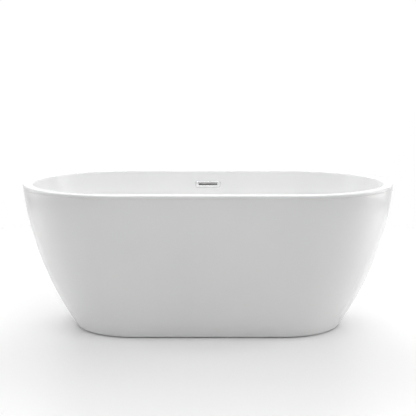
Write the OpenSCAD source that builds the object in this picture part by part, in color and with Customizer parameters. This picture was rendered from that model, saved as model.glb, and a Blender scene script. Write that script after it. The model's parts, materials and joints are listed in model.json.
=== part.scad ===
// Freestanding oval bathtub: an acrylic well and rim, a separate outer skirt, a steel
// under-frame on five levelling feet, a press-to-close waste and a slot overflow.
// X runs along the tub, Y across it (overflow wall at +Y), Z up from the floor.

/* [Tub] */
// Overall length at the rim
tub_l = 1500; // [1200:10:1850]
// Overall width at the rim
tub_w = 750; // [620:10:920]
// Height from the floor to the top of the rim
tub_h = 590; // [480:5:720]
// Length of each rounded end against its half width
cap_stretch = 1.08; // [1:0.01:1.2]
// Thickness of the acrylic well
wall = 6; // [4:0.5:8]

/* [Skirt] */
// How far the foot of the skirt stands in from the rim at each end
base_inset_x = 203; // [120:1:240]
// How far the foot of the skirt stands in from the rim at the front and back
base_inset_y = 144; // [90:1:165]
// Thickness of the skirt
skirt_t = 5; // [3:0.5:6]
// Gap between the skirt and the floor
floor_gap = 4; // [2:0.5:10]
// Width of the flange turned in at the foot of the skirt
lip_w = 30; // [24:1:34]

/* [Rim] */
// Width of the rim across its flat top
rim_w = 36; // [32:1:50]
// Depth of the rim's outer edge
rim_t = 14; // [11:1:20]
// Radius of the rim's outer edge
rim_edge_r = 7; // [3:0.5:9]
// Radius where the rim rolls over into the well
rim_lip_r = 6; // [3:0.5:9]
// Thickness of the adhesive bead between the rim and the skirt
bond_t = 1; // [0.5:0.5:2]

/* [Well] */
// Height of the floor of the well above the ground
floor_z = 150; // [140:2:180]
// How far the floor stands in from the rim at each end, before its fillet
well_inset_x = 216; // [160:1:260]
// How far the floor stands in from the rim at the front and back, before its fillet
well_inset_y = 94; // [75:1:110]
// Fillet between the floor and the walls of the well
floor_fillet = 90; // [60:5:110]
// Thickness of the glass-fibre laminate under the well
laminate_t = 2.5; // [2:0.5:4]
// Height of the laminate above the floor of the well
laminate_rise = 180; // [120:5:240]
// Thickness of the base board
board_t = 15; // [12:1:18]
// Margin between the flat of the floor and the edge of the base board
board_margin = 10; // [5:1:20]

/* [Frame] */
// Side of the square steel tube
tube_w = 20; // [16:1:22]
// Wall of the square steel tube
tube_t = 2; // [1.5:0.5:3]
// Distance of each long rail from the centre line
rail_y = 135; // [130:1:140]
// Distance of the outer crossbars from the middle
crossbar_x = 320; // [250:5:340]
// Distance of the centre crossbar from the middle, on the left of the waste
centre_bar_x = 110; // [80:1:150]
// Thickness of the skirt brackets
bracket_t = 3; // [2:0.5:4]
// Width of the skirt brackets
bracket_w = 30; // [20:1:40]

/* [Feet] */
// Distance of the corner feet from the centre line
foot_y = 165; // [160:1:168]
// Radius of the threaded studs
stud_r = 6; // [5:0.5:8]
// Thread pitch of the studs, which is also the height of the chamfer at their tops
stud_pitch = 1.75; // [1.5:0.25:2]
// Radius of the foot pads
pad_r = 24; // [18:1:26]
// Height of the foot pads
pad_h = 12; // [10:1:16]
// How far each foot can be wound down with its stud still through the weld nut
foot_travel = 20; // [10:1:25]

/* [Waste] */
// Distance of the waste from the centre line, towards the overflow
waste_y = 85; // [70:1:88]
// Radius of the strainer's flange
flange_r = 35; // [33:1:38]
// Radius of the strainer's threaded body
strainer_r = 24.5; // [22:0.5:25.5]
// Wall of the strainer's threaded body
strainer_t = 4; // [3:0.5:5]
// Radius of the hole in the floor of the well
waste_hole_r = 26; // [26:0.5:28]
// Radius of the stopper cap
stopper_r = 31; // [29:0.5:32]
// How far the stopper travels between open and closed
stopper_travel = 10; // [6:0.5:12]
// Radius of the stopper's stem
stem_r = 3; // [2.5:0.5:4]
// Outer radius of the tailpiece
tail_r = 19.05; // [18:0.05:20]
// Wall of the tailpiece
tail_t = 1.5; // [1:0.5:2]

/* [Overflow] */
// Width of the overflow bezel
bezel_w = 113; // [100:1:125]
// Height of the overflow bezel
bezel_h = 28; // [24:1:32]
// Width of the overflow slot
slot_w = 84; // [70:1:90]
// Height of the overflow slot
slot_h = 8; // [6:0.5:10]
// Drop from the rim to the middle of the overflow
overflow_drop = 60; // [50:1:80]
// Outer radius of the overflow pipe
pipe_r = 9; // [8:0.5:9.5]
// Wall of the overflow pipe
pipe_t = 1.5; // [1:0.5:2]

/* [Fits] */
// Radial clearance of a shaft that turns or slides in a hole
running_fit = 0.05; // [0.02:0.01:0.1]
// Gap between faces that move past each other
face_gap = 0.3; // [0.2:0.1:0.6]

/* [Hidden] */
$fn = 96;
FEET = ["front_left", "front_right", "rear_left", "rear_right", "centre"];

// Reach of the half spaces and long extrusions, past any size of the tub
far = 2400;
arc_steps = 10;

// Half widths (b) of the oval at the rim and foot, and the half length (s) of its straights
b_top = tub_w / 2;
s_top = tub_l / 2 - cap_stretch * b_top;
b_base = b_top - base_inset_y;
s_base = tub_l / 2 - base_inset_x - cap_stretch * b_base;

// The skirt's section is an arc that is vertical at the rim
skirt_drop = tub_h - floor_gap;
skirt_arc_r = arc_radius(skirt_drop, base_inset_y);
skirt_arc_c = [b_top - skirt_arc_r, tub_h];
rim_under = tub_h - rim_t;
skirt_top = rim_under - bond_t;
lip_top = floor_gap + skirt_t;

// The well's section is an arc and a fillet
well_b = b_top - rim_w;
s_floor = s_top - well_inset_x + cap_stretch * well_inset_y;
well_depth = tub_h - floor_z;
well_arc_r = arc_radius(well_depth, well_inset_y);
well_arc_c = [well_b - well_arc_r, tub_h];
fillet_z = floor_z + floor_fillet;
fillet_c = [arc_y(well_arc_c, well_arc_r - floor_fillet, fillet_z), fillet_z];
fillet_a = atan2(fillet_c[1] - well_arc_c[1], fillet_c[0] - well_arc_c[0]);

// Heights of the layers below the well
laminate_z = floor_z - wall - laminate_t;
board_z = laminate_z - board_t;
rail_z = board_z - tube_w;
bar_z = rail_z - tube_w;

board_b = fillet_c[0] - board_margin;
rail_inset = 8;
rail_half = s_floor + board_b - rail_inset;
rail_screw_inset = 60;
rail_screw_x = rail_half - rail_screw_inset;
rail_screw_shift = 40;
screw_r = 3;
screw_head_r = 6;
screw_head_h = 3.5;
screw_hole_fit = 0.3;
board_bite = 13;
plug_t = 3;
plug_depth = 12;
bar_clear = 16;
bar_half = b_base - skirt_t - bar_clear;
foot_flange_w = 15;
bracket_screw_y = bar_half - 6;
bracket_screw_r = 2;
bracket_head_r = 4;
bracket_head_h = 2.5;

// Feet
foot_xy = [[-crossbar_x, -foot_y], [crossbar_x, -foot_y], [-crossbar_x, foot_y],
           [crossbar_x, foot_y], [-centre_bar_x, 0]];
nut_h = 10;
lock_nut_h = 8;
nut_size = 1.83;
nut_corner_r = stud_r * nut_size;
collar_r = nut_corner_r - 0.5;
stud_hole_fit = 0.5;
ball_r = 5;
socket_z = 4;
collar_h = 6;
weld_nut_z = bar_z - nut_h;
lock_nut_z = weld_nut_z - lock_nut_h;
stud_spare = 8;
stud_top = min(board_z - face_gap, bar_z + foot_travel + stud_spare);
chamfer_slope = 0.61;

// Waste, from the floor of the well down
seal_t = 1.5;
flange_t = 3;
flange_top = floor_z + seal_t + flange_t;
gasket_t = 3;
waste_nut_h = 10;
waste_nut_r = flange_r - 2;
gasket_z = board_z - gasket_t;
waste_nut_z = gasket_z - waste_nut_h;
strainer_tail = 20;
strainer_z = waste_nut_z - strainer_tail;
strainer_bore_r = strainer_r - strainer_t;
tee_t = 4;
tee_r = strainer_r + tee_t;
tee_top = waste_nut_z - 2;
tee_sump = 7;
branch_drop = 3;
branch_z = strainer_z - pipe_r - branch_drop;
tee_floor_z = branch_z - pipe_r - tee_sump;
tail_socket_h = 14;
tail_end_z = 10;
tail_nut_h = 14;
tail_wall = 3;
tail_nut_z = tee_floor_z - tail_socket_h - 4;
tail_nut_r = tail_r + 8;
tail_bead_z = tail_nut_z - 4;
tail_bead_r = tail_r + 1.2;
branch_t = 2;
branch_len = 24;
branch_socket = 14;
branch_y = waste_y + tee_r + branch_len;

// Stopper at rest, standing open
stopper_seal_t = 2.5;
cap_t = 4;
seal_clearance = 0.1;
cap_z = flange_top + seal_clearance + stopper_seal_t + stopper_travel;
dome_r = stopper_r * 6;
dome_angle = 8.6;
guide_drop = 30;
guide_z = floor_z - guide_drop;
guide_h = 8;
guide_r = stem_r + 4;
guide_web = 3;
stem_grip = 1.5;
stem_collar_h = 4;
spring_r = stem_r + 2.2;
spring_wire_r = 0.7;
spring_turns = 6;
stopper_seal_w = 5.5;
stem_bottom = guide_z - stopper_travel - 4;

// Overflow
overflow_z = tub_h - overflow_drop;
boss_margin_w = 6;
boss_margin_h = 5;
boss_w = bezel_w + 2 * boss_margin_w;
boss_h = bezel_h + 2 * boss_margin_h;
overflow_y = well_y(overflow_z + boss_h / 2);
boss_y = overflow_y + wall;
bezel_t = 4;
sleeve_t = 3;
sleeve_gap = 0.5;
flange_gasket_t = 2;
housing_flange_t = 3;
housing_t = 2;
housing_d = 13;
housing_y = boss_y + flange_gasket_t;
housing_margin_w = 8;
housing_margin_h = 9;
housing_w = slot_w + 2 * housing_margin_w;
housing_h = slot_h + 2 * housing_margin_h;
housing_lip = 4;
pipe_nut_r = pipe_r + 3;
pipe_nut_h = 12;
spigot_reach = 4;
spigot_block_h = 16;
pipe_top_z = overflow_z - housing_h / 2 - 18;
pipe_bend = 40;
pipe_gap = 4;
pipe_lead = 22;
pipe_inward = 13;
pipe_points = [
    [pipe_y(pipe_top_z), pipe_top_z],
    [pipe_y(pipe_top_z), pipe_top_z - pipe_lead],
    [pipe_y(pipe_top_z - 100), pipe_top_z - 100],
    [pipe_y(fillet_z), fillet_z],
    [pipe_y(branch_z) - pipe_inward, branch_z],
    [branch_y - branch_socket, branch_z]];
spigot_t = 1.5;

// Radius of the arc that is vertical at its top and falls in by inset over drop
function arc_radius(drop, inset) = (drop * drop + inset * inset) / (2 * inset);

// Distance from the axis of the arc (centre c, radius r) at height z
function arc_y(c, r, z) = c[0] + sqrt(r * r - pow(c[1] - z, 2));

// Inner face of the well, the inner face of the skirt, and the pipe's line beside the skirt
function well_y(z) = arc_y(well_arc_c, well_arc_r, z);
function skirt_y(z) = arc_y(skirt_arc_c, skirt_arc_r - skirt_t, z);
function pipe_y(z) = skirt_y(z) - pipe_r - pipe_gap;

// Points on an arc
function arc(c, r, a0, a1, n) = [for (i = [0:n]) c + r * [cos(a0 + (a1 - a0) * i / n), sin(a0 + (a1 - a0) * i / n)]];
function without_last(v) = [for (i = [0:len(v) - 2]) v[i]];

// Section of the well from its axis out to the top, thicker by grow
function well_outline(grow, top) = let (
        r = well_arc_r + grow,
        a_top = asin((top - tub_h) / r))
    concat(
        [[0, floor_z - grow]],
        without_last(arc(fillet_c, floor_fillet + grow, -90, fillet_a, 8)),
        arc(well_arc_c, r, fillet_a, a_top, arc_steps));

// Outline of a plate with round ends or round corners, centred on the origin
function rounded_outline(w, h, r) = concat(
    arc([w / 2 - r, h / 2 - r], r, 0, 90, 8),
    arc([r - w / 2, h / 2 - r], r, 90, 180, 8),
    arc([r - w / 2, r - h / 2], r, 180, 270, 8),
    arc([w / 2 - r, r - h / 2], r, 270, 360, 8));

// Space beyond the slanted plane x = s(z), where s runs from s0 at z0 to s1 at z1
module beyond_straights(z0, s0, z1, s1) {
    k = (s1 - s0) / (z1 - z0);
    rotate([90, 0, 0])
        translate([0, 0, -far / 2])
            linear_extrude(height = far)
                polygon([[s0 - k * (z0 + 50), -50], [far, -50],
                         [far, z1 + 50], [s1 + k * 50, z1 + 50]]);
}

// Oval solid with a given section: two stretched, slanted round ends and the straights between
module oval(z0, s0, z1, s1) {
    k = (s1 - s0) / (z1 - z0);
    for (side = [0, 1])
        mirror([side, 0, 0])
            intersection() {
                multmatrix([[cap_stretch, 0, k, s0 - k * z0], [0, 1, 0, 0], [0, 0, 1, 0]])
                    rotate_extrude()
                        children();
                beyond_straights(z0, s0, z1, s1);
            }
    difference() {
        translate([-far / 2, 0, 0])
            rotate([90, 0, 90])
                linear_extrude(height = far) {
                    children();
                    mirror([1, 0])
                        children();
                }
        for (side = [0, 1])
            mirror([side, 0, 0])
                beyond_straights(z0, s0, z1, s1);
    }
}

module skirt_oval() {
    oval(floor_gap, s_base, tub_h, s_top)
        children();
}

module well_oval() {
    oval(floor_z, s_floor, tub_h, s_top)
        children();
}

module skirt_disc(inset) {
    translate(skirt_arc_c)
        circle(skirt_arc_r - inset, $fn = 256);
}

// Band of the section between two heights and from one distance from the axis outwards
module band(from_r, z0, z1) {
    translate([from_r, z0])
        square([far / 4, z1 - z0]);
}

// Places children at the waste
module at_waste() {
    translate([0, waste_y, 0])
        children();
}

// Places children at the overflow, drawn in XY and extruded towards +Y from depth y
module overflow_plate(y, t) {
    translate([0, y + t, overflow_z])
        rotate([90, 0, 0])
            linear_extrude(height = t)
                children();
}

module rounded_plate(w, h, r) {
    polygon(rounded_outline(w, h, r));
}

module slot_ring(w, h, hole_w, hole_h) {
    difference() {
        rounded_plate(w, h, min(w, h) / 2 - 0.01);
        rounded_plate(hole_w, hole_h, hole_h / 2 - 0.01);
    }
}

module ring(r_out, r_in, z, h) {
    translate([0, 0, z])
        difference() {
            cylinder(r = r_out, h = h);
            translate([0, 0, -1])
                cylinder(r = r_in, h = h + 2);
        }
}

module basin() {
    color("white")
        difference() {
            union() {
                difference() {
                    union() {
                        well_oval()
                            polygon(concat(well_outline(wall, rim_under + 1), [[0, rim_under + 1]]));
                        skirt_oval()
                            polygon(concat([[0, rim_under], [b_top, rim_under]],
                                arc([b_top - rim_edge_r, tub_h - rim_edge_r], rim_edge_r, 0, 90, 6),
                                [[0, tub_h]]));
                    }
                    well_oval()
                        polygon(concat(well_outline(0, tub_h - rim_lip_r),
                            arc([well_b + rim_lip_r, tub_h - rim_lip_r], rim_lip_r, 180, 90, 6),
                            [[well_b + rim_lip_r, tub_h + 5], [0, tub_h + 5]]));
                }
                overflow_plate(overflow_y + 1, wall - 1)
                    rounded_plate(boss_w, boss_h, 12);
            }
            overflow_plate(overflow_y - 20, 20)
                rounded_plate(bezel_w + 1, bezel_h + 1, 9);
            overflow_plate(overflow_y - 20, 20 + wall + 5)
                rounded_plate(slot_w + 2 * sleeve_t + 2 * sleeve_gap, slot_h + 2 * sleeve_t + 2 * sleeve_gap,
                    slot_h / 2 + sleeve_t);
            at_waste()
                cylinder(r = waste_hole_r, h = floor_z + 10);
        }
}

module basin_laminate() {
    color("tan")
        difference() {
            well_oval()
                polygon(concat(well_outline(wall + laminate_t, floor_z + laminate_rise),
                    [[0, floor_z + laminate_rise]]));
            well_oval()
                polygon(concat(well_outline(wall, rim_under + 1), [[0, rim_under + 1]]));
            at_waste()
                cylinder(r = waste_hole_r, h = floor_z + 10);
        }
}

module base_board() {
    color("burlywood")
        difference() {
            translate([0, 0, board_z])
                linear_extrude(height = board_t)
                    rounded_plate(2 * (s_floor + board_b), 2 * board_b, board_b - 0.01);
            at_waste()
                cylinder(r = waste_hole_r + 2, h = floor_z);
            at_rail_screws()
                cylinder(r = screw_r, h = rail_z + tube_w + board_bite - 1);
        }
}

module skirt() {
    color("white")
        skirt_oval()
            union() {
                intersection() {
                    difference() {
                        skirt_disc(0);
                        skirt_disc(skirt_t);
                    }
                    band(20, floor_gap, skirt_top);
                }
                intersection() {
                    skirt_disc(0);
                    band(b_top - rim_w + wall + 3, skirt_top - skirt_t, skirt_top);
                }
                intersection() {
                    skirt_disc(0);
                    band(b_base - skirt_t - lip_w, floor_gap, lip_top);
                }
            }
}

module rim_bond() {
    color("ivory")
        skirt_oval()
            translate([b_top - rim_w + wall + 4, skirt_top])
                square([rim_w - wall - 5, bond_t]);
}

// Square tube along X, centred on the middle, standing on z = 0
module square_tube_x(half) {
    difference() {
        translate([-half, -tube_w / 2, 0])
            cube([2 * half, tube_w, tube_w]);
        translate([-half - 1, tube_t - tube_w / 2, tube_t])
            cube([2 * half + 2, tube_w - 2 * tube_t, tube_w - 2 * tube_t]);
    }
}

module at_rail_screws() {
    for (x = [-1, 0, 1], y = [-1, 1])
        translate([x * rail_screw_x + (x == 0 ? rail_screw_shift : 0), y * rail_y, 0])
            children();
}

module rail(side) {
    color("silver")
        difference() {
            translate([0, side * rail_y, rail_z])
                square_tube_x(rail_half);
            at_rail_screws()
                cylinder(r = screw_r + screw_hole_fit, h = board_z + 1);
        }
}

module rail_plugs() {
    color("black")
        for (x = [-1, 1], y = [-1, 1])
            translate([x * rail_half, y * rail_y, rail_z + tube_w / 2])
                rotate([0, x * 90, 0]) {
                    linear_extrude(height = plug_t)
                        rounded_plate(tube_w, tube_w, 1.5);
                    translate([0, 0, -plug_depth])
                        linear_extrude(height = plug_depth)
                            rounded_plate(tube_w - 2 * tube_t, tube_w - 2 * tube_t, 0.5);
                }
}

module board_screws() {
    color("gold")
        at_rail_screws() {
            translate([0, 0, rail_z - screw_head_h])
                cylinder(r = screw_head_r, h = screw_head_h, $fn = 6);
            translate([0, 0, rail_z - 1])
                cylinder(r = screw_r, h = tube_w + board_bite);
        }
}

// Crossbar at x, with clearance holes for the studs at the given distances across
module crossbar(x, stud_ys) {
    color("silver")
        difference() {
            translate([x, 0, bar_z])
                rotate([0, 0, 90])
                    square_tube_x(bar_half);
            for (y = stud_ys)
                translate([x, y, bar_z - 1])
                    cylinder(r = stud_r + stud_hole_fit, h = tube_w + 2);
        }
}

module at_crossbar_ends() {
    for (x = [-crossbar_x, -centre_bar_x, crossbar_x], side = [0, 1])
        mirror([0, side, 0])
            translate([x, 0, 0])
                children();
}

module skirt_brackets() {
    color("silver")
        at_crossbar_ends()
            difference() {
                union() {
                    translate([-bracket_w / 2, bar_half, lip_top])
                        cube([bracket_w, bracket_t, bar_z + tube_w - lip_top]);
                    translate([-bracket_w / 2, bar_half - foot_flange_w, lip_top])
                        cube([bracket_w, foot_flange_w + bracket_t, bracket_t]);
                }
                translate([0, bracket_screw_y, 0])
                    cylinder(r = bracket_screw_r, h = bar_z);
            }
}

module bracket_screws() {
    color("gold")
        at_crossbar_ends()
            translate([0, bracket_screw_y, 0]) {
                translate([0, 0, lip_top + bracket_t])
                    cylinder(r = bracket_head_r, h = bracket_head_h);
                translate([0, 0, lip_top])
                    cylinder(r = bracket_screw_r, h = bracket_t + 1);
            }
}

module hex_nut(z, h) {
    translate([0, 0, z])
        difference() {
            cylinder(r = nut_corner_r, h = h, $fn = 6);
            translate([0, 0, -1])
                cylinder(r = stud_r + running_fit, h = h + 2);
        }
}

module weld_nuts() {
    color("dimgray")
        for (p = foot_xy)
            translate([p[0], p[1], 0])
                hex_nut(weld_nut_z, nut_h);
}

module lock_nuts() {
    color("goldenrod")
        for (p = foot_xy)
            translate([p[0], p[1], 0])
                hex_nut(lock_nut_z, lock_nut_h);
}

module foot_pad(i) {
    color("black")
        translate([foot_xy[i][0], foot_xy[i][1], 0])
            difference() {
                rotate_extrude()
                    polygon([[0, 0], [pad_r - 1, 0], [pad_r, 1], [pad_r, 4], [pad_r - 2, 6],
                             [ball_r + 6, pad_h - 1], [ball_r + 5, pad_h], [0, pad_h]]);
                translate([0, 0, socket_z])
                    cylinder(r = ball_r + running_fit, h = pad_h);
            }
}

module foot_stud(i) {
    color("silver")
        translate([foot_xy[i][0], foot_xy[i][1], 0]) {
            translate([0, 0, socket_z + face_gap])
                cylinder(r = ball_r, h = pad_h - socket_z);
            translate([0, 0, pad_h + face_gap])
                cylinder(r = collar_r, h = collar_h, $fn = 6);
            translate([0, 0, pad_h + face_gap + collar_h - 1])
                cylinder(r = stud_r, h = stud_top - stud_pitch - pad_h - face_gap - collar_h + 1);
            translate([0, 0, stud_top - stud_pitch])
                cylinder(r1 = stud_r, r2 = stud_r - stud_pitch * chamfer_slope, h = stud_pitch);
        }
}

module strainer() {
    color("silver")
        at_waste() {
            difference() {
                union() {
                    translate([0, 0, floor_z + seal_t])
                        cylinder(r1 = flange_r, r2 = flange_r - 1.5, h = flange_t);
                    translate([0, 0, strainer_z])
                        cylinder(r = strainer_r, h = floor_z + seal_t + 1 - strainer_z);
                }
                translate([0, 0, strainer_z - 1])
                    cylinder(r = strainer_bore_r, h = flange_top - strainer_z + 2);
                translate([0, 0, flange_top - 2])
                    cylinder(r1 = strainer_bore_r, r2 = strainer_bore_r + 2.1, h = 2.1);
            }
            difference() {
                union() {
                    translate([0, 0, guide_z])
                        cylinder(r = guide_r, h = guide_h);
                    for (a = [0, 90])
                        rotate([0, 0, a])
                            translate([-strainer_bore_r - 1, -guide_web / 2, guide_z])
                                cube([2 * strainer_bore_r + 2, guide_web, guide_h - 3]);
                }
                translate([0, 0, guide_z - 1])
                    cylinder(r = stem_r + running_fit, h = guide_h + 2);
            }
        }
}

module strainer_seal() {
    color("dimgray")
        at_waste()
            ring(flange_r - 1, strainer_r + 0.5, floor_z, seal_t);
}

module waste_gasket() {
    color("dimgray")
        at_waste()
            ring(waste_nut_r, strainer_r + 0.1, gasket_z, gasket_t);
}

module waste_nut() {
    color("goldenrod")
        at_waste()
            difference() {
                union() {
                    translate([0, 0, waste_nut_z + 3])
                        cylinder(r = waste_nut_r - 1, h = waste_nut_h - 3);
                    translate([0, 0, waste_nut_z])
                        cylinder(r = waste_nut_r - 2, h = 4, $fn = 12);
                }
                translate([0, 0, waste_nut_z - 1])
                    cylinder(r = strainer_r + running_fit, h = waste_nut_h + 2);
            }
}

module waste_tee() {
    color("whitesmoke")
        at_waste()
            difference() {
                union() {
                    translate([0, 0, tee_floor_z])
                        cylinder(r = tee_r, h = tee_top - tee_floor_z);
                    translate([0, 0, tee_floor_z - tail_socket_h])
                        cylinder(r = tail_r + tail_wall, h = tail_socket_h + 1);
                    translate([0, 0, branch_z])
                        rotate([-90, 0, 0])
                            cylinder(r = pipe_r + branch_t, h = tee_r + branch_len);
                }
                translate([0, 0, strainer_z])
                    cylinder(r = strainer_r + running_fit, h = tee_top);
                translate([0, 0, tee_floor_z + tee_t])
                    cylinder(r = strainer_bore_r, h = strainer_z - tee_floor_z);
                translate([0, 0, tee_floor_z - tail_socket_h - 1])
                    cylinder(r = tail_r + running_fit, h = tail_socket_h + 1);
                translate([0, 0, tee_floor_z - 1])
                    cylinder(r = tail_r - tail_t, h = tee_t + 2);
                translate([0, strainer_bore_r - 3, branch_z])
                    rotate([-90, 0, 0])
                        cylinder(r = pipe_r - pipe_t, h = tee_t + 10);
                translate([0, tee_r + branch_len - branch_socket, branch_z])
                    rotate([-90, 0, 0])
                        cylinder(r = pipe_r + running_fit, h = 20);
                translate([0, tee_r - 1, branch_z])
                    rotate([-90, 0, 0])
                        cylinder(r = pipe_r - pipe_t, h = branch_len);
            }
}

module tail_nut() {
    color("whitesmoke")
        at_waste()
            difference() {
                translate([0, 0, tail_nut_z])
                    cylinder(r = tail_nut_r, h = tail_nut_h, $fn = 12);
                translate([0, 0, tee_floor_z - tail_socket_h])
                    cylinder(r = tail_r + tail_wall + running_fit, h = tail_nut_h);
                cylinder(r = tail_r + running_fit, h = tee_floor_z);
            }
}

module tailpiece() {
    color("whitesmoke")
        at_waste() {
            ring(tail_r, tail_r - tail_t, tail_end_z, tee_floor_z - tail_end_z);
            ring(tail_bead_r, tail_r - 0.5, tail_bead_z, 2);
        }
}

module stopper_cap() {
    color("silver")
        at_waste()
            translate([0, 0, cap_z])
                difference() {
                    rotate_extrude()
                        polygon(concat([[0, 0], [stopper_r - 1, 0], [stopper_r, 1], [stopper_r, 1.6]],
                            arc([0, cap_t - dome_r], dome_r, 90 - dome_angle, 90, 8)));
                    translate([0, 0, -1])
                        cylinder(r = stem_r, h = stem_grip + 1);
                }
}

module stopper_seal() {
    color("dimgray")
        at_waste()
            ring(stopper_r - 2, stopper_r - 2 - stopper_seal_w, cap_z - stopper_seal_t, stopper_seal_t);
}

module stopper_stem() {
    color("goldenrod")
        at_waste() {
            translate([0, 0, stem_bottom])
                cylinder(r = stem_r, h = cap_z + stem_grip - stem_bottom);
            translate([0, 0, cap_z - stem_collar_h])
                cylinder(r = spring_r + 2, h = stem_collar_h);
        }
}

// Points of the spring's rings: n sides at turn t of its coil
function spring_ring(t, n) = let (
        z0 = guide_z + guide_h + spring_wire_r,
        z1 = cap_z - stem_collar_h - spring_wire_r,
        a = t * spring_turns * 360)
    [for (j = [0:n - 1]) let (r = spring_r + spring_wire_r * cos(360 * j / n))
        [r * cos(a), r * sin(a), z0 + (z1 - z0) * t + spring_wire_r * sin(360 * j / n)]];

module stopper_spring() {
    steps = spring_turns * 12;
    n = 6;
    color("gray")
        at_waste()
            polyhedron(
                points = [for (i = [0:steps]) each spring_ring(i / steps, n)],
                faces = concat(
                    [[for (j = [0:n - 1]) j]],
                    [for (i = [0:steps - 1], j = [0:n - 1])
                        let (k = (j + 1) % n) [i * n + j, (i + 1) * n + j, (i + 1) * n + k, i * n + k]],
                    [[for (j = [n - 1:-1:0]) steps * n + j]]),
                convexity = 8);
}

module overflow_bezel() {
    color("silver") {
        overflow_plate(overflow_y - bezel_t, bezel_t)
            difference() {
                rounded_plate(bezel_w, bezel_h, 9);
                rounded_plate(slot_w, slot_h, slot_h / 2 - 0.01);
            }
        overflow_plate(overflow_y, wall + flange_gasket_t + housing_flange_t)
            slot_ring(slot_w + 2 * sleeve_t, slot_h + 2 * sleeve_t, slot_w, slot_h);
    }
}

module overflow_gasket() {
    color("dimgray")
        overflow_plate(boss_y, flange_gasket_t)
            slot_ring(housing_w + 2 * housing_lip, housing_h + 2 * housing_lip,
                slot_w + 2 * sleeve_t + 2 * sleeve_gap, slot_h + 2 * sleeve_t + 2 * sleeve_gap);
}

module overflow_housing() {
    spigot_y = pipe_points[0][0];
    color("whitesmoke")
        difference() {
            union() {
                overflow_plate(housing_y, housing_flange_t)
                    rounded_plate(housing_w + 2 * housing_lip, housing_h + 2 * housing_lip, 10);
                overflow_plate(housing_y, housing_flange_t + housing_d)
                    rounded_plate(housing_w, housing_h, 6);
                translate([0, spigot_y, pipe_top_z - spigot_reach])
                    cylinder(r = pipe_r + spigot_t, h = 2 * spigot_reach + 1);
                translate([-pipe_r - spigot_t, housing_y, pipe_top_z + spigot_reach])
                    cube([2 * (pipe_r + spigot_t), housing_flange_t + housing_d, spigot_block_h]);
            }
            overflow_plate(housing_y - 1, housing_flange_t + housing_d + 1 - housing_t)
                rounded_plate(slot_w + 2 * sleeve_t + 2 * running_fit, slot_h + 2 * sleeve_t + 2 * running_fit,
                    slot_h / 2 + sleeve_t);
            translate([0, spigot_y, pipe_top_z - spigot_reach - 1])
                cylinder(r = pipe_r + running_fit, h = spigot_reach + 2);
            translate([0, spigot_y, pipe_top_z])
                cylinder(r = pipe_r - pipe_t - 2, h = spigot_reach + spigot_block_h + 4);
        }
}

module overflow_nut() {
    color("whitesmoke")
        translate([0, pipe_points[0][0], 0])
            difference() {
                translate([0, 0, pipe_top_z - 2 * spigot_reach])
                    cylinder(r = pipe_nut_r, h = pipe_nut_h);
                translate([0, 0, pipe_top_z - spigot_reach])
                    cylinder(r = pipe_r + spigot_t + running_fit, h = pipe_nut_h);
                translate([0, 0, pipe_top_z - 2 * spigot_reach - 1])
                    cylinder(r = pipe_r + running_fit, h = pipe_nut_h);
            }
}

module branch_nut() {
    color("whitesmoke")
        translate([0, branch_y - 6, branch_z])
            rotate([-90, 0, 0])
                difference() {
                    cylinder(r = pipe_nut_r + 2, h = 10, $fn = 12);
                    translate([0, 0, -1])
                        cylinder(r = pipe_r + branch_t + running_fit, h = 7);
                    cylinder(r = pipe_r + running_fit, h = 11);
                }
}

// Unit direction from point i to point i + 1 of a route
function route_dir(p, i) = (p[i + 1] - p[i]) / norm(p[i + 1] - p[i]);

// Signed turn of the route at point i, and the length its bend takes from each side
function route_turn(p, i) = let (d = route_dir(p, i - 1), e = route_dir(p, i))
    atan2(d[0] * e[1] - d[1] * e[0], d * e);
function bend_length(p, i) = i == 0 || i == len(p) - 1 ? 0 : pipe_bend * tan(abs(route_turn(p, i)) / 2);

// Stations of a bend: points on its arc, each with the route's heading there
function bend_stations(p, i) = let (
        d = route_dir(p, i - 1),
        turn = route_turn(p, i),
        n = sign(turn) * [-d[1], d[0]],
        c = p[i] - d * bend_length(p, i) + n * pipe_bend,
        a0 = atan2(-n[1], -n[0]),
        steps = ceil(abs(turn) / 12))
    [for (q = [0:steps]) let (a = a0 + turn * q / steps)
        [c[0] + pipe_bend * cos(a), c[1] + pipe_bend * sin(a), a + sign(turn) * 90]];

// Stations of the whole route: its two ends and every bend
function route_stations(p) = let (
        last = len(p) - 1,
        d = route_dir(p, 0),
        e = route_dir(p, last - 1))
    concat([[p[0][0], p[0][1], atan2(d[1], d[0])]],
        [for (i = [1:last - 1]) each bend_stations(p, i)],
        [[p[last][0], p[last][1], atan2(e[1], e[0])]]);

// Ring of points round a station, square to its heading
function station_ring(s, r, n) = [for (j = [0:n - 1]) let (u = r * cos(360 * j / n))
    [s[0] - u * sin(s[2]), s[1] + u * cos(s[2]), r * sin(360 * j / n)]];

// Tube along a flat route: its outside one way and its bore back again
module tube_route(p, r, bore, n) {
    stations = route_stations(p);
    last = len(stations) - 1;
    rings = concat([for (s = stations) station_ring(s, r, n)],
        [for (i = [last:-1:0]) station_ring(stations[i], bore, n)]);
    m = len(rings);
    polyhedron(
        points = [for (r = rings) each r],
        faces = [for (i = [0:m - 1], j = [0:n - 1])
            let (i2 = (i + 1) % m, j2 = (j + 1) % n)
            [i * n + j, i2 * n + j, i2 * n + j2, i * n + j2]],
        convexity = 6);
}

module overflow_pipe() {
    color("gray")
        rotate([90, 0, 90])
            tube_route(pipe_points, pipe_r, pipe_r - pipe_t, 24);
}

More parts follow.
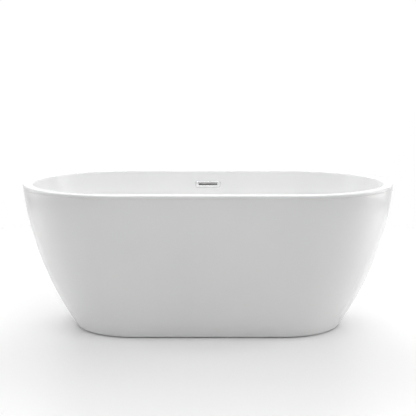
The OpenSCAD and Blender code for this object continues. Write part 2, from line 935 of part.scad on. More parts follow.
basin();
basin_laminate();
base_board();
skirt();
rim_bond();
rail(-1);  // front_rail
rail(1);  // rear_rail
rail_plugs();
board_screws();
crossbar(-crossbar_x, [-foot_y, foot_y]);  // left_crossbar
crossbar(-centre_bar_x, [0]);  // centre_crossbar
crossbar(crossbar_x, [-foot_y, foot_y]);  // right_crossbar
skirt_brackets();
bracket_screws();
weld_nuts();
lock_nuts();
for (i = [0:len(FEET) - 1]) {
    foot_pad(i);
    foot_stud(i);
}
strainer();
strainer_seal();
waste_gasket();
waste_nut();
waste_tee();
tail_nut();
tailpiece();
stopper_cap();
stopper_seal();
stopper_stem();
stopper_spring();
overflow_bezel();
overflow_gasket();
overflow_housing();
overflow_nut();
branch_nut();
overflow_pipe();
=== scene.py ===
"""Looks of the freestanding bathtub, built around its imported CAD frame. All lengths are in metres."""
import json
import math
import random

import bmesh
import bpy
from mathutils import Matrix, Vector


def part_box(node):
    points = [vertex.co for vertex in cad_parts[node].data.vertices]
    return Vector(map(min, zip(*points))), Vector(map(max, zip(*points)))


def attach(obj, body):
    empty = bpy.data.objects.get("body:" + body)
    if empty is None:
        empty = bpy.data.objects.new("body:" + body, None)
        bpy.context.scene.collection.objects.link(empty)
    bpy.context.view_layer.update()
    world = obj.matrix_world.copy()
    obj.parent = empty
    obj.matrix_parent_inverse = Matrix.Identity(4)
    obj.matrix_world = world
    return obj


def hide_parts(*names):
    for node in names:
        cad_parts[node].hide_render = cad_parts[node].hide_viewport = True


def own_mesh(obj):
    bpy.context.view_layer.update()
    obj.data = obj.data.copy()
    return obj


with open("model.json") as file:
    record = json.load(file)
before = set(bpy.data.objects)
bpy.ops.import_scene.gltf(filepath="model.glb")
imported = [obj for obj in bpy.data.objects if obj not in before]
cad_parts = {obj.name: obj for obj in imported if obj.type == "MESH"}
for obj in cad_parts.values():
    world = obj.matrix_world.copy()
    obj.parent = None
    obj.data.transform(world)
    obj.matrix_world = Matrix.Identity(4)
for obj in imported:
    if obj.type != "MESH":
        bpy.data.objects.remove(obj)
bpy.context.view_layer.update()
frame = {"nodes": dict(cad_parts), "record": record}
random.seed(7)

FEET = ("front_left", "front_right", "rear_left", "rear_right", "centre")

# ---------------------------------------------------------------- driving sizes

CAP_STRETCH = 1.08
BASE_INSET_X = 0.203
BASE_INSET_Y = 0.144
SKIRT_T = 0.005
LIP_W = 0.030
RIM_W = 0.036
RIM_T = 0.014
RIM_EDGE_R = 0.007
RIM_LIP_R = 0.006
WALL = 0.006
WELL_DEPTH = 0.440
WELL_INSET_X = 0.216
WELL_INSET_Y = 0.094
FLOOR_FILLET = 0.090
WASTE_HOLE_R = 0.026
SLOT_W = 0.084
SLOT_H = 0.008
SLEEVE_T = 0.003
SLEEVE_FIT = 0.0005
BEZEL_T = 0.004
BEZEL_CORNER_R = 0.009
BOSS_MARGIN_W = 0.006
BOSS_MARGIN_H = 0.005
STRAINER_T = 0.004
FLANGE_MARGIN = 0.0105
STEM_R = 0.003
TUBE_T = 0.002
TUBE_CORNER_R = 0.0026
BRACKET_T = 0.003
STUD_R = 0.006
STUD_PITCH = 0.00175
NUT_SIZE = 1.83
BALL_R = 0.005
COLLAR_H = 0.006
PIPE_R = 0.009
PIPE_GAP = 0.004
PIPE_LEAD = 0.022
PIPE_BEND = 0.040
SPRING_WIRE_R = 0.0007
SPRING_TURNS = 6

# ---------------------------------------------------------------- places from the frame

BASIN_LOW, BASIN_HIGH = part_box("basin")
SKIRT_LOW, SKIRT_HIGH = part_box("skirt")
BEZEL_LOW, BEZEL_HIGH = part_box("overflow_bezel")
STRAINER_LOW, STRAINER_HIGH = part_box("strainer")
TOP = BASIN_HIGH.z
GAP = SKIRT_LOW.z
FLANGE_R = (STRAINER_HIGH.x - STRAINER_LOW.x) / 2
STRAINER_R = FLANGE_R - FLANGE_MARGIN
WASTE_Y = (STRAINER_LOW.y + STRAINER_HIGH.y) / 2
OVERFLOW_Z = (BEZEL_LOW.z + BEZEL_HIGH.z) / 2
BEZEL_W = BEZEL_HIGH.x - BEZEL_LOW.x
BEZEL_H = BEZEL_HIGH.z - BEZEL_LOW.z
BEZEL_BACK_Y = BEZEL_LOW.y + BEZEL_T

B_TOP = BASIN_HIGH.y
S_TOP = BASIN_HIGH.x - CAP_STRETCH * B_TOP
B_BASE = B_TOP - BASE_INSET_Y
S_BASE = BASIN_HIGH.x - BASE_INSET_X - CAP_STRETCH * B_BASE
FLOOR = TOP - WELL_DEPTH
WELL_B = B_TOP - RIM_W
S_FLOOR = S_TOP - WELL_INSET_X + CAP_STRETCH * WELL_INSET_Y


class Arc:
    """An arc in the section that is vertical at the rim and falls in by inset over drop."""

    def __init__(self, top_b, drop, inset):
        self.radius = (drop * drop + inset * inset) / (2 * inset)
        self.centre = top_b - self.radius

    def b(self, z, grow=0.0):
        """Distance from the axis at height z, on the arc moved out by grow."""
        return self.centre + math.sqrt((self.radius + grow) ** 2 - (TOP - z) ** 2)


SKIRT_ARC = Arc(B_TOP, TOP - GAP, BASE_INSET_Y)
WELL_ARC = Arc(WELL_B, WELL_DEPTH, WELL_INSET_Y)
FILLET_Z = FLOOR + FLOOR_FILLET
FILLET_B = WELL_ARC.b(FILLET_Z, -FLOOR_FILLET)
FILLET_ANGLE = math.atan2(FILLET_Z - TOP, FILLET_B - WELL_ARC.centre)


def skirt_s(z):
    """Half length of the skirt's straights at height z."""
    return S_BASE + (S_TOP - S_BASE) * (z - GAP) / (TOP - GAP)


def well_s(z):
    """Half length of the well's straights at height z."""
    return S_FLOOR + (S_TOP - S_FLOOR) * (z - FLOOR) / WELL_DEPTH


def middle(node):
    """Middle of a node's box."""
    low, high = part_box(node)
    return (low + high) / 2


# ---------------------------------------------------------------- mesh helpers

def finish_mesh(bm, sharp):
    """Merges doubles, turns the normals out, and marks edges over the sharp angle."""
    bmesh.ops.remove_doubles(bm, verts=bm.verts, dist=1e-6)
    bmesh.ops.dissolve_degenerate(bm, edges=bm.edges, dist=1e-7)
    bmesh.ops.recalc_face_normals(bm, faces=bm.faces)
    limit = math.radians(sharp)
    for face in bm.faces:
        face.smooth = True
    for edge in bm.edges:
        edge.smooth = len(edge.link_faces) == 2 and edge.calc_face_angle(0.0) < limit


def new_piece(name, bm, slot, body="tub", replaces=(), sharp=32.0):
    """Links a bmesh as a piece of the model, with its slot's material."""
    finish_mesh(bm, sharp)
    mesh = bpy.data.meshes.new(name)
    bm.to_mesh(mesh)
    bm.free()
    mesh.materials.append(MAT[slot])
    obj = bpy.data.objects.new(name, mesh)
    bpy.context.scene.collection.objects.link(obj)
    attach(obj, body)
    if replaces:
        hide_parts(*replaces)
    return obj


def combine(obj, other, operation="DIFFERENCE", sharp=32.0):
    """Cuts a closed bmesh from a piece, or joins it on, exactly."""
    finish_mesh(other, sharp)
    mesh = bpy.data.meshes.new("tool")
    other.to_mesh(mesh)
    other.free()
    tool = bpy.data.objects.new("tool", mesh)
    bpy.context.scene.collection.objects.link(tool)
    modifier = obj.modifiers.new("combine", "BOOLEAN")
    modifier.object = tool
    modifier.operation = operation
    modifier.solver = "EXACT"
    graph = bpy.context.evaluated_depsgraph_get()
    graph.update()
    result = bpy.data.meshes.new_from_object(obj.evaluated_get(graph))
    obj.modifiers.clear()
    bm = bmesh.new()
    bm.from_mesh(result)
    finish_mesh(bm, sharp)
    bm.to_mesh(result)
    bm.free()
    obj.data = result
    bpy.data.objects.remove(tool)


def add_rings(bm, rings, wrap=False, caps=False):
    """Adds quads between rings of points. wrap joins the last ring to the first."""
    rows = [[bm.verts.new(p) for p in ring] for ring in rings]
    count = len(rows[0])
    for i in range(len(rows) if wrap else len(rows) - 1):
        low, high = rows[i], rows[(i + 1) % len(rows)]
        for j in range(count):
            k = (j + 1) % count
            bm.faces.new((low[j], low[k], high[k], high[j]))
    if caps:
        bm.faces.new(rows[0][::-1])
        bm.faces.new(rows[-1])
    return rows


def add_lathe(bm, profile, centre=(0, 0), segments=64, wrap=True, shape=None):
    """Revolves (radius, z) points about a vertical line. shape(angle) limits the radius.

    With wrap off, the profile runs from the axis to the axis."""
    rings = []
    for radius, z in profile:
        ring = []
        for j in range(segments):
            a = 2 * math.pi * j / segments
            r = min(radius, shape(a)) if shape else radius
            ring.append((centre[0] + r * math.cos(a), centre[1] + r * math.sin(a), z))
        rings.append(ring)
    add_rings(bm, rings, wrap=wrap)


def lathe(profile, centre=(0, 0), segments=64, wrap=True, shape=None):
    """A bmesh with one lathe in it."""
    bm = bmesh.new()
    add_lathe(bm, profile, centre, segments, wrap, shape)
    return bm


def cylinder(centre, low, high, radius, segments=48):
    """Closed vertical cylinder."""
    return lathe([(0, low), (radius, low), (radius, high), (0, high)], centre, segments, wrap=False)


def softened(points, radius, steps=4, closed=True):
    """Rounds the corners of a (radius, z) outline. An open one keeps its two ends."""
    out = []
    count = len(points)
    for i in range(count):
        if not closed and i in (0, count - 1):
            out.append(points[i])
            continue
        before, here, after = (Vector(points[(i + d) % count]) for d in (-1, 0, 1))
        a, b = before - here, after - here
        cut = min(radius, 0.45 * a.length, 0.45 * b.length)
        start, end = here + a.normalized() * cut, here + b.normalized() * cut
        for k in range(steps + 1):
            t = k / steps
            out.append(tuple(start.lerp(here, t).lerp(here.lerp(end, t), t)))
    return out


def arc_points(cx, cy, radius, start, end, steps):
    """Points of an arc, angles in degrees."""
    angles = [math.radians(start + (end - start) * i / steps) for i in range(steps + 1)]
    return [(cx + radius * math.cos(a), cy + radius * math.sin(a)) for a in angles]


def rounded_rectangle(width, height, radius, steps=6):
    """Outline of a rectangle with round corners, centred on the origin."""
    radius = min(radius, width / 2 - 1e-5, height / 2 - 1e-5)
    w, h = width / 2 - radius, height / 2 - radius
    out = []
    for cx, cy, start in ((w, h, 0), (-w, h, 90), (-w, -h, 180), (w, -h, 270)):
        out += arc_points(cx, cy, radius, start, start + 90, steps)
    return out


def hexagon(radius):
    """Limit of a radius to a hexagon of the given corner radius."""
    flat = radius * math.cos(math.pi / 6)

    def limit(a):
        return flat / math.cos((a + math.pi / 6) % (math.pi / 3) - math.pi / 6)

    return limit


def add_tube(bm, path, radius, segments=16, bore=0.0, up=(1, 0, 0)):
    """Sweeps a circle along points. radius may depend on the length run so far."""
    points = [Vector(p) for p in path]
    side = Vector(up)
    rings, inner, run = [], [], 0.0
    for i, p in enumerate(points):
        ahead = (points[min(i + 1, len(points) - 1)] - points[max(i - 1, 0)]).normalized()
        other = ahead.cross(side).normalized()
        across = other.cross(ahead).normalized()
        run += (p - points[i - 1]).length if i else 0.0
        r = radius(run) if callable(radius) else radius
        turns = [2 * math.pi * j / segments for j in range(segments)]
        rings.append([p + r * (math.cos(a) * across + math.sin(a) * other) for a in turns])
        inner.append([p + bore * (math.cos(a) * across + math.sin(a) * other) for a in turns])
    if bore:
        add_rings(bm, rings + inner[::-1], wrap=True)
    else:
        add_rings(bm, rings, caps=True)


def section_ring(outline, centre, axis, along):
    """An outline about a centre, laid across an axis at a place along it."""
    u, v = [n for n in range(3) if n != axis]
    ring = []
    for a, b in outline:
        p = Vector(centre)
        p[u] += a
        p[v] += b
        p[axis] = along
        ring.append(p)
    return ring


def add_block(bm, low, high, bevel):
    """Box between two corners with rounded edges along its longest axis."""
    size, centre = high - low, (high + low) / 2
    axis = max(range(3), key=lambda n: size[n])
    u, v = [n for n in range(3) if n != axis]
    rings = []
    half = size[axis] / 2
    for along, inset in ((-half, bevel), (-half + bevel, 0), (half - bevel, 0), (half, bevel)):
        outline = rounded_rectangle(size[u] - 2 * inset, size[v] - 2 * inset, bevel * 1.5, 3)
        rings.append(section_ring(outline, centre, axis, centre[axis] + along))
    add_rings(bm, rings, caps=True)


def square_tube(axis, low, high):
    """Square hollow section along an axis, open at both ends, with round corners."""
    centre = (low + high) / 2
    u, v = [n for n in range(3) if n != axis]
    wide, tall = high[u] - low[u], high[v] - low[v]
    outer = rounded_rectangle(wide, tall, TUBE_CORNER_R)
    inner = rounded_rectangle(wide - 2 * TUBE_T, tall - 2 * TUBE_T, TUBE_CORNER_R / 2)
    ends = ((outer, low), (outer, high), (inner, high), (inner, low))
    bm = bmesh.new()
    add_rings(bm, [section_ring(outline, centre, axis, end[axis]) for outline, end in ends], wrap=True)
    return bm


def add_thread(bm, centre, radius, depth, pitch, low, high, segments=20, rows=4):
    """Rod with a helical thread, chamfered over one pitch at its top."""
    steps = int((high - low) / pitch * rows)
    rings = [[(centre[0], centre[1], low)] * segments]
    for i in range(steps + 1):
        z = low + (high - low) * i / steps
        most = radius - max(0.0, z - high + pitch) * 0.6
        ring = []
        for j in range(segments):
            a = 2 * math.pi * j / segments
            wave = abs(2 * ((z / pitch - j / segments) % 1.0) - 1)
            r = min(radius - depth * wave, most)
            ring.append((centre[0] + r * math.cos(a), centre[1] + r * math.sin(a), z))
        rings.append(ring)
    rings.append([(centre[0], centre[1], high)] * segments)
    add_rings(bm, rings)


# ---------------------------------------------------------------- materials

def node_material(name, color, roughness, metallic=0.0, specular=0.5):
    """A material with its Principled shader, ready for nodes."""
    material = bpy.data.materials.new(name)
    material.use_nodes = True
    shader = material.node_tree.nodes["Principled BSDF"]
    shader.inputs["Base Color"].default_value = (*color, 1)
    shader.inputs["Roughness"].default_value = roughness
    shader.inputs["Metallic"].default_value = metallic
    shader.inputs["Specular IOR Level"].default_value = specular
    return material, material.node_tree, shader


def link(tree, source, target):
    """Joins an output socket to an input socket."""
    tree.links.new(source, target)


def coordinates(tree, scale=(1, 1, 1)):
    """Object coordinates, which are metres in the row frame, scaled."""
    where = tree.nodes.new("ShaderNodeTexCoord")
    mapping = tree.nodes.new("ShaderNodeMapping")
    mapping.inputs["Scale"].default_value = scale
    link(tree, where.outputs["Object"], mapping.inputs["Vector"])
    return mapping.outputs["Vector"]


def arithmetic(tree, operation, a, b):
    """Result of a Math node on two sockets or numbers."""
    node = tree.nodes.new("ShaderNodeMath")
    node.operation = operation
    for socket, value in zip(node.inputs, (a, b)):
        if isinstance(value, (int, float)):
            socket.default_value = value
        else:
            link(tree, value, socket)
    return node.outputs["Value"]


def noise(tree, vector, scale, detail=2.0, roughness=0.5):
    """Value of a noise texture."""
    node = tree.nodes.new("ShaderNodeTexNoise")
    node.inputs["Scale"].default_value = scale
    node.inputs["Detail"].default_value = detail
    node.inputs["Roughness"].default_value = roughness
    link(tree, vector, node.inputs["Vector"])
    return node.outputs["Fac"]


def ramp(tree, factor, low, high, start=0.0, end=1.0):
    """Colour from low to high as factor goes from start to end."""
    node = tree.nodes.new("ShaderNodeValToRGB")
    node.color_ramp.elements[0].position = start
    node.color_ramp.elements[1].position = end
    node.color_ramp.elements[0].color = (*low, 1)
    node.color_ramp.elements[1].color = (*high, 1)
    link(tree, factor, node.inputs["Fac"])
    return node.outputs["Color"]


def span(tree, factor, low, high):
    """Number from low to high as factor goes from 0 to 1."""
    node = tree.nodes.new("ShaderNodeMapRange")
    node.inputs["To Min"].default_value = low
    node.inputs["To Max"].default_value = high
    link(tree, factor, node.inputs["Value"])
    return node.outputs["Result"]


def bump(tree, shader, height, strength, distance):
    """Fine relief on a shader's normal."""
    node = tree.nodes.new("ShaderNodeBump")
    node.inputs["Strength"].default_value = strength
    node.inputs["Distance"].default_value = distance
    link(tree, height, node.inputs["Height"])
    link(tree, node.outputs["Normal"], shader.inputs["Normal"])


def acrylic():
    """Glossy white sanitary acrylic: faint long waves from forming, and faint tone change."""
    material, tree, shader = node_material("acrylic", (0.86, 0.86, 0.86), 0.2, specular=0.4)
    where = coordinates(tree)
    tone = noise(tree, where, 3.0)
    color = ramp(tree, tone, (0.845, 0.847, 0.85), (0.87, 0.87, 0.868), 0.3, 0.7)
    link(tree, color, shader.inputs["Base Color"])
    link(tree, span(tree, noise(tree, where, 9.0, 3.0), 0.16, 0.24), shader.inputs["Roughness"])
    bump(tree, shader, noise(tree, where, 14.0, 1.0), 0.12, 0.0006)
    return material


def speckled(name, low, high, scale, roughness, bump_distance, metallic=0.0, detail=4.0, stretch=(1, 1, 1),
             roughness_span=0.12):
    """General matt or metal finish: mottled colour and roughness, and a fine bump."""
    material, tree, shader = node_material(name, low, roughness, metallic)
    where = coordinates(tree, stretch)
    spots = noise(tree, where, scale, detail, 0.6)
    link(tree, ramp(tree, spots, low, high, 0.32, 0.68), shader.inputs["Base Color"])
    coarse = noise(tree, where, scale * 0.31, 2.0)
    link(tree, span(tree, coarse, roughness - roughness_span / 2, roughness + roughness_span / 2),
         shader.inputs["Roughness"])
    bump(tree, shader, spots, 0.35, bump_distance)
    return material


def galvanised():
    """Hot-dip galvanised steel: flat crystals of slightly different grey."""
    material, tree, shader = node_material("galvanised", (0.5, 0.51, 0.52), 0.42, 0.9)
    where = coordinates(tree)
    cells = tree.nodes.new("ShaderNodeTexVoronoi")
    cells.inputs["Scale"].default_value = 150.0
    link(tree, where, cells.inputs["Vector"])
    split = tree.nodes.new("ShaderNodeSeparateColor")
    link(tree, cells.outputs["Color"], split.inputs["Color"])
    color = ramp(tree, split.outputs["Red"], (0.42, 0.43, 0.44), (0.6, 0.61, 0.63))
    link(tree, color, shader.inputs["Base Color"])
    link(tree, span(tree, split.outputs["Green"], 0.34, 0.52), shader.inputs["Roughness"])
    bump(tree, shader, noise(tree, where, 400.0, 3.0), 0.2, 0.0001)
    return material


def fibreglass():
    """Glass-fibre laminate: short strands at all angles under yellowish resin."""
    material, tree, shader = node_material("fibreglass", (0.66, 0.6, 0.44), 0.45)
    where = coordinates(tree)
    heights = []
    for turn, scale in ((0.3, 130.0), (1.35, 150.0), (2.4, 140.0)):
        mapping = tree.nodes.new("ShaderNodeMapping")
        mapping.inputs["Rotation"].default_value = (turn * 0.7, turn, turn * 1.3)
        mapping.inputs["Scale"].default_value = (0.12, 1.0, 1.0)
        link(tree, where, mapping.inputs["Vector"])
        heights.append(noise(tree, mapping.outputs["Vector"], scale, 1.0))
    total = heights[0]
    for other in heights[1:]:
        total = arithmetic(tree, "MAXIMUM", total, other)
    color = ramp(tree, total, (0.5, 0.43, 0.27), (0.78, 0.73, 0.58), 0.45, 0.72)
    link(tree, color, shader.inputs["Base Color"])
    link(tree, span(tree, noise(tree, where, 25.0), 0.28, 0.6), shader.inputs["Roughness"])
    bump(tree, shader, total, 0.6, 0.0008)
    return material


def plywood():
    """Plywood: veneers stacked in Z on the edges, long grain on the faces."""
    material, tree, shader = node_material("plywood", (0.6, 0.43, 0.26), 0.62)
    grain = noise(tree, coordinates(tree, (1.0, 14.0, 14.0)), 9.0, 5.0, 0.62)
    layers = tree.nodes.new("ShaderNodeTexWave")
    layers.wave_type = "BANDS"
    layers.bands_direction = "Z"
    layers.inputs["Scale"].default_value = 52.0
    layers.inputs["Distortion"].default_value = 0.4
    link(tree, coordinates(tree), layers.inputs["Vector"])
    normal = tree.nodes.new("ShaderNodeNewGeometry")
    split = tree.nodes.new("ShaderNodeSeparateXYZ")
    link(tree, normal.outputs["Normal"], split.inputs["Vector"])
    flat = arithmetic(tree, "ABSOLUTE", split.outputs["Z"], 0.0)
    mix = tree.nodes.new("ShaderNodeMix")
    mix.data_type = "RGBA"
    link(tree, flat, mix.inputs["Factor"])
    edge = ramp(tree, layers.outputs["Fac"], (0.36, 0.22, 0.11), (0.66, 0.49, 0.3), 0.3, 0.6)
    link(tree, edge, mix.inputs["A"])
    link(tree, ramp(tree, grain, (0.45, 0.29, 0.15), (0.7, 0.53, 0.34), 0.35, 0.68), mix.inputs["B"])
    link(tree, mix.outputs["Result"], shader.inputs["Base Color"])
    bump(tree, shader, grain, 0.35, 0.0004)
    return material


def chrome():
    """Polished chrome with a trace of wiping marks."""
    material, tree, shader = node_material("chrome", (0.84, 0.845, 0.85), 0.12, 1.0)
    where = coordinates(tree, (1.0, 6.0, 6.0))
    link(tree, span(tree, noise(tree, where, 90.0, 3.0), 0.1, 0.16), shader.inputs["Roughness"])
    bump(tree, shader, noise(tree, coordinates(tree), 220.0, 2.0), 0.06, 0.00004)
    return material


def smooth_plastic(name, low, high, roughness):
    """Moulded plastic: near even colour with a fine moulded skin."""
    return speckled(name, low, high, 60.0, roughness, 0.00006, detail=2.0, roughness_span=0.08)


MAT = {
    "acrylic": acrylic(),
    "laminate": fibreglass(),
    "plywood": plywood(),
    "adhesive": smooth_plastic("adhesive", (0.8, 0.79, 0.76), (0.86, 0.85, 0.83), 0.4),
    "frame_steel": galvanised(),
    "zinc": speckled("zinc", (0.56, 0.55, 0.48), (0.7, 0.69, 0.64), 240.0, 0.3, 0.00004, metallic=1.0),
    "plug_plastic": smooth_plastic("plug_plastic", (0.028, 0.028, 0.03), (0.045, 0.045, 0.046), 0.42),
    "pad_rubber": speckled("pad_rubber", (0.022, 0.022, 0.022), (0.05, 0.05, 0.05), 320.0, 0.72, 0.00012),
    "chrome": chrome(),
    "brass": speckled("brass", (0.62, 0.44, 0.17), (0.76, 0.58, 0.28), 120.0, 0.26, 0.00003, metallic=1.0,
                      stretch=(1, 1, 12)),
    "spring_steel": speckled("spring_steel", (0.42, 0.42, 0.42), (0.58, 0.58, 0.57), 500.0, 0.24, 0.00002,
                             metallic=1.0),
    "seal_rubber": speckled("seal_rubber", (0.1, 0.1, 0.1), (0.15, 0.15, 0.15), 300.0, 0.62, 0.00008),
    "white_plastic": smooth_plastic("white_plastic", (0.78, 0.78, 0.76), (0.83, 0.83, 0.81), 0.36),
    "pipe_plastic": smooth_plastic("pipe_plastic", (0.34, 0.35, 0.36), (0.42, 0.43, 0.44), 0.4),
}


# ---------------------------------------------------------------- basin, skirt and rim

CAP_STEPS = 72
STRAIGHT_STEPS = 14


def oval_ring(s, b, z):
    """Points round an oval: two stretched round ends and two straights."""
    ring = []
    for side in (1, -1):
        for i in range(CAP_STEPS):
            a = math.pi * (i / CAP_STEPS - 0.5)
            ring.append((side * (s + CAP_STRETCH * b * math.cos(a)), side * b * math.sin(a), z))
        for i in range(STRAIGHT_STEPS):
            ring.append((side * (s - 2 * s * i / STRAIGHT_STEPS), side * b, z))
    return ring


def skirt_ring(b, z):
    """Oval ring on the skirt's slant."""
    return oval_ring(skirt_s(z), b, z)


def well_ring(b, z):
    """Oval ring on the well's slant."""
    return oval_ring(well_s(z), b, z)


def well_section(grow, top, wall_steps, fillet_steps):
    """(b, z) points up the well's section, from the edge of its flat floor to height top."""
    radius = FLOOR_FILLET + grow
    points = [(FILLET_B - 0.004, FLOOR - grow)]
    for i in range(fillet_steps):
        a = -math.pi / 2 + (FILLET_ANGLE + math.pi / 2) * i / fillet_steps
        points.append((FILLET_B + radius * math.cos(a), FILLET_Z + radius * math.sin(a)))
    full = WELL_ARC.radius + grow
    end = math.asin((top - TOP) / full)
    for i in range(wall_steps + 1):
        a = FILLET_ANGLE + (end - FILLET_ANGLE) * i / wall_steps
        points.append((WELL_ARC.centre + full * math.cos(a), TOP + full * math.sin(a)))
    return points


def fill_flat(bm, row):
    """Closes an oval ring of vertices with faces across it."""
    half = len(row) // 2
    quarter = CAP_STEPS // 2
    order = row[quarter:] + row[:quarter]
    upper = order[:half + 1]
    lower = [order[0]] + order[:half - 1:-1]
    for i in range(half):
        corners = list(dict.fromkeys([upper[i], upper[i + 1], lower[i + 1], lower[i]]))
        bm.faces.new(corners)


def overflow_plate(width, height, radius, front, back):
    """Closed plate at the overflow, from y = front to y = back."""
    outline = rounded_rectangle(width, height, radius, 8)
    bm = bmesh.new()
    add_rings(bm, [[(x, y, OVERFLOW_Z + z) for x, z in outline] for y in (front, back)], caps=True)
    return bm


def make_basin():
    """Well, rolled rim and its underside as one closed sheet of acrylic."""
    rings = [well_ring(b, z) for b, z in well_section(0.0, TOP - RIM_LIP_R, 26, 16)]
    lip = arc_points(WELL_B + RIM_LIP_R, TOP - RIM_LIP_R, RIM_LIP_R, 180, 90, 8)
    rings += [well_ring(b, z) for b, z in lip[1:] + [(WELL_B + RIM_LIP_R + 0.001, TOP)]]
    edge = arc_points(B_TOP - RIM_EDGE_R, TOP - RIM_EDGE_R, RIM_EDGE_R, 90, 0, 10)
    rings += [skirt_ring(b, z) for b, z in [(B_TOP - RIM_EDGE_R - 0.001, TOP)] + edge]
    under = TOP - RIM_T
    rings += [skirt_ring(b, z) for b, z in arc_points(B_TOP - 0.001, under + 0.001, 0.001, 0, -90, 3)]
    rings += [well_ring(b, z) for b, z in well_section(WALL, under, 18, 10)[::-1]]
    bm = bmesh.new()
    rows = add_rings(bm, rings)
    fill_flat(bm, rows[0])
    fill_flat(bm, rows[-1])
    piece = new_piece("basin_shell", bm, "acrylic", replaces=("basin",), sharp=50)
    seat, reach, hole = BEZEL_BACK_Y, 0.02, 2 * (SLEEVE_T + SLEEVE_FIT)
    boss = overflow_plate(BEZEL_W + 2 * BOSS_MARGIN_W, BEZEL_H + 2 * BOSS_MARGIN_H, 0.012,
                          seat + 0.001, seat + WALL)
    combine(piece, boss, "UNION", 50)
    recess = overflow_plate(BEZEL_W + 0.001, BEZEL_H + 0.001, BEZEL_CORNER_R, seat - reach, seat)
    combine(piece, recess, sharp=50)
    slot = overflow_plate(SLOT_W + hole, SLOT_H + hole, 0.007, seat - reach, seat + reach)
    combine(piece, slot, sharp=50)
    combine(piece, cylinder((0, WASTE_Y), FLOOR - 0.05, FLOOR + 0.05, WASTE_HOLE_R), sharp=50)


def make_skirt():
    """Outer skirt with its top flange and its foot flange turned in."""
    top = SKIRT_HIGH.z
    edge = 0.0015
    rings = []
    for i in range(41):
        z = GAP + edge + (top - GAP - edge - 0.0008) * i / 40
        rings.append(skirt_ring(SKIRT_ARC.b(z), z))
    rings += [skirt_ring(b, z) for b, z in arc_points(B_TOP - 0.0009, top - 0.0008, 0.0008, 10, 90, 3)]
    flange_b = B_TOP - RIM_W + WALL + 0.003
    rings += [skirt_ring(b, z) for b, z in arc_points(flange_b + 0.001, top - 0.001, 0.001, 90, 180, 3)]
    rings.append(skirt_ring(flange_b, top - SKIRT_T))
    for i in range(31):
        z = top - SKIRT_T + (GAP + 2 * SKIRT_T - top) * i / 30
        rings.append(skirt_ring(SKIRT_ARC.b(z, -SKIRT_T), z))
    lip_b = B_BASE - SKIRT_T - LIP_W + 0.0025
    middle_z = GAP + SKIRT_T / 2
    rings += [skirt_ring(b, z) for b, z in arc_points(lip_b, middle_z, SKIRT_T / 2, 90, 270, 8)]
    foot = SKIRT_ARC.b(GAP + edge)
    rings += [skirt_ring(b, z) for b, z in arc_points(foot - edge, GAP + edge, edge, 270, 340, 4)]
    bm = bmesh.new()
    add_rings(bm, rings, wrap=True)
    new_piece("skirt_shell", bm, "acrylic", replaces=("skirt",), sharp=50)


def make_rim_bond():
    """Bead of adhesive that fills the joint between the rim and the skirt."""
    low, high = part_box("rim_bond")
    inner = B_TOP - RIM_W + WALL + 0.004
    corners = [(B_TOP - 0.001, low.z), (B_TOP - 0.0014, middle("rim_bond").z), (B_TOP - 0.001, high.z),
               (inner, high.z), (inner, low.z)]
    bm = bmesh.new()
    add_rings(bm, [skirt_ring(b, z) for b, z in corners], wrap=True)
    new_piece("rim_bead", bm, "adhesive", replaces=("rim_bond",), sharp=60)


# ---------------------------------------------------------------- overflow

def make_bezel():
    """Chrome bezel: plate with a rolled edge, a raised lip round the slot, and the sleeve behind it."""
    front = BEZEL_LOW.y
    face = front + 0.0007
    edge_r, lip_r = 0.0022, 0.0012

    def outline(w, h, radius, y):
        return [(x, y, OVERFLOW_Z + z) for x, z in rounded_rectangle(w, h, radius, 10)]

    def slot_ring(grow, y):
        return outline(SLOT_W + 2 * grow, SLOT_H + 2 * grow, SLOT_H / 2 + grow, y)

    rings = [outline(BEZEL_W, BEZEL_H, BEZEL_CORNER_R, BEZEL_BACK_Y)]
    for inset, rise in arc_points(edge_r, 0.0, edge_r, 180, 90, 6):
        rings.append(outline(BEZEL_W - 2 * inset, BEZEL_H - 2 * inset, BEZEL_CORNER_R, face + edge_r - rise))
    rings += [slot_ring(grow, y) for grow, y in ((0.0062, face), (0.0050, face), (0.0040, face - 0.0003),
                                                 (0.0033, front + 0.0001))]
    for grow, rise in arc_points(lip_r, 0.0, lip_r, 90, 180, 8):
        rings.append(slot_ring(grow, front + lip_r - rise))
    for grow, y in ((0.0, BEZEL_HIGH.y), (SLEEVE_T, BEZEL_HIGH.y), (SLEEVE_T, BEZEL_BACK_Y)):
        rings.append(slot_ring(grow, y))
    bm = bmesh.new()
    add_rings(bm, rings, wrap=True)
    new_piece("bezel_plate", bm, "chrome", replaces=("overflow_bezel",), sharp=40)


def pipe_y(z):
    """Depth of the overflow pipe beside the skirt at height z."""
    return SKIRT_ARC.b(z, -SKIRT_T) - PIPE_R - PIPE_GAP


def bent_route(corners, radius, step):
    """Points along straight runs with round bends, about a step apart."""
    corners = [Vector(c) for c in corners]
    out = [corners[0]]
    for before, here, after in zip(corners, corners[1:], corners[2:]):
        a, b = (before - here).normalized(), (after - here).normalized()
        turn = math.pi - a.angle(b)
        cut = radius * math.tan(turn / 2)
        start, end = here + a * cut, here + b * cut
        centre = here + (a + b).normalized() * (radius / math.cos(turn / 2))
        count = max(3, round(turn * radius / step))
        for k in range(count + 1):
            spoke = (start - centre).lerp(end - centre, k / count)
            out.append(centre + spoke.normalized() * radius)
    out.append(corners[-1])
    fine = []
    for a, b in zip(out, out[1:]):
        count = max(1, round((b - a).length / step))
        fine += [a.lerp(b, k / count) for k in range(count)]
    return fine + [out[-1]]


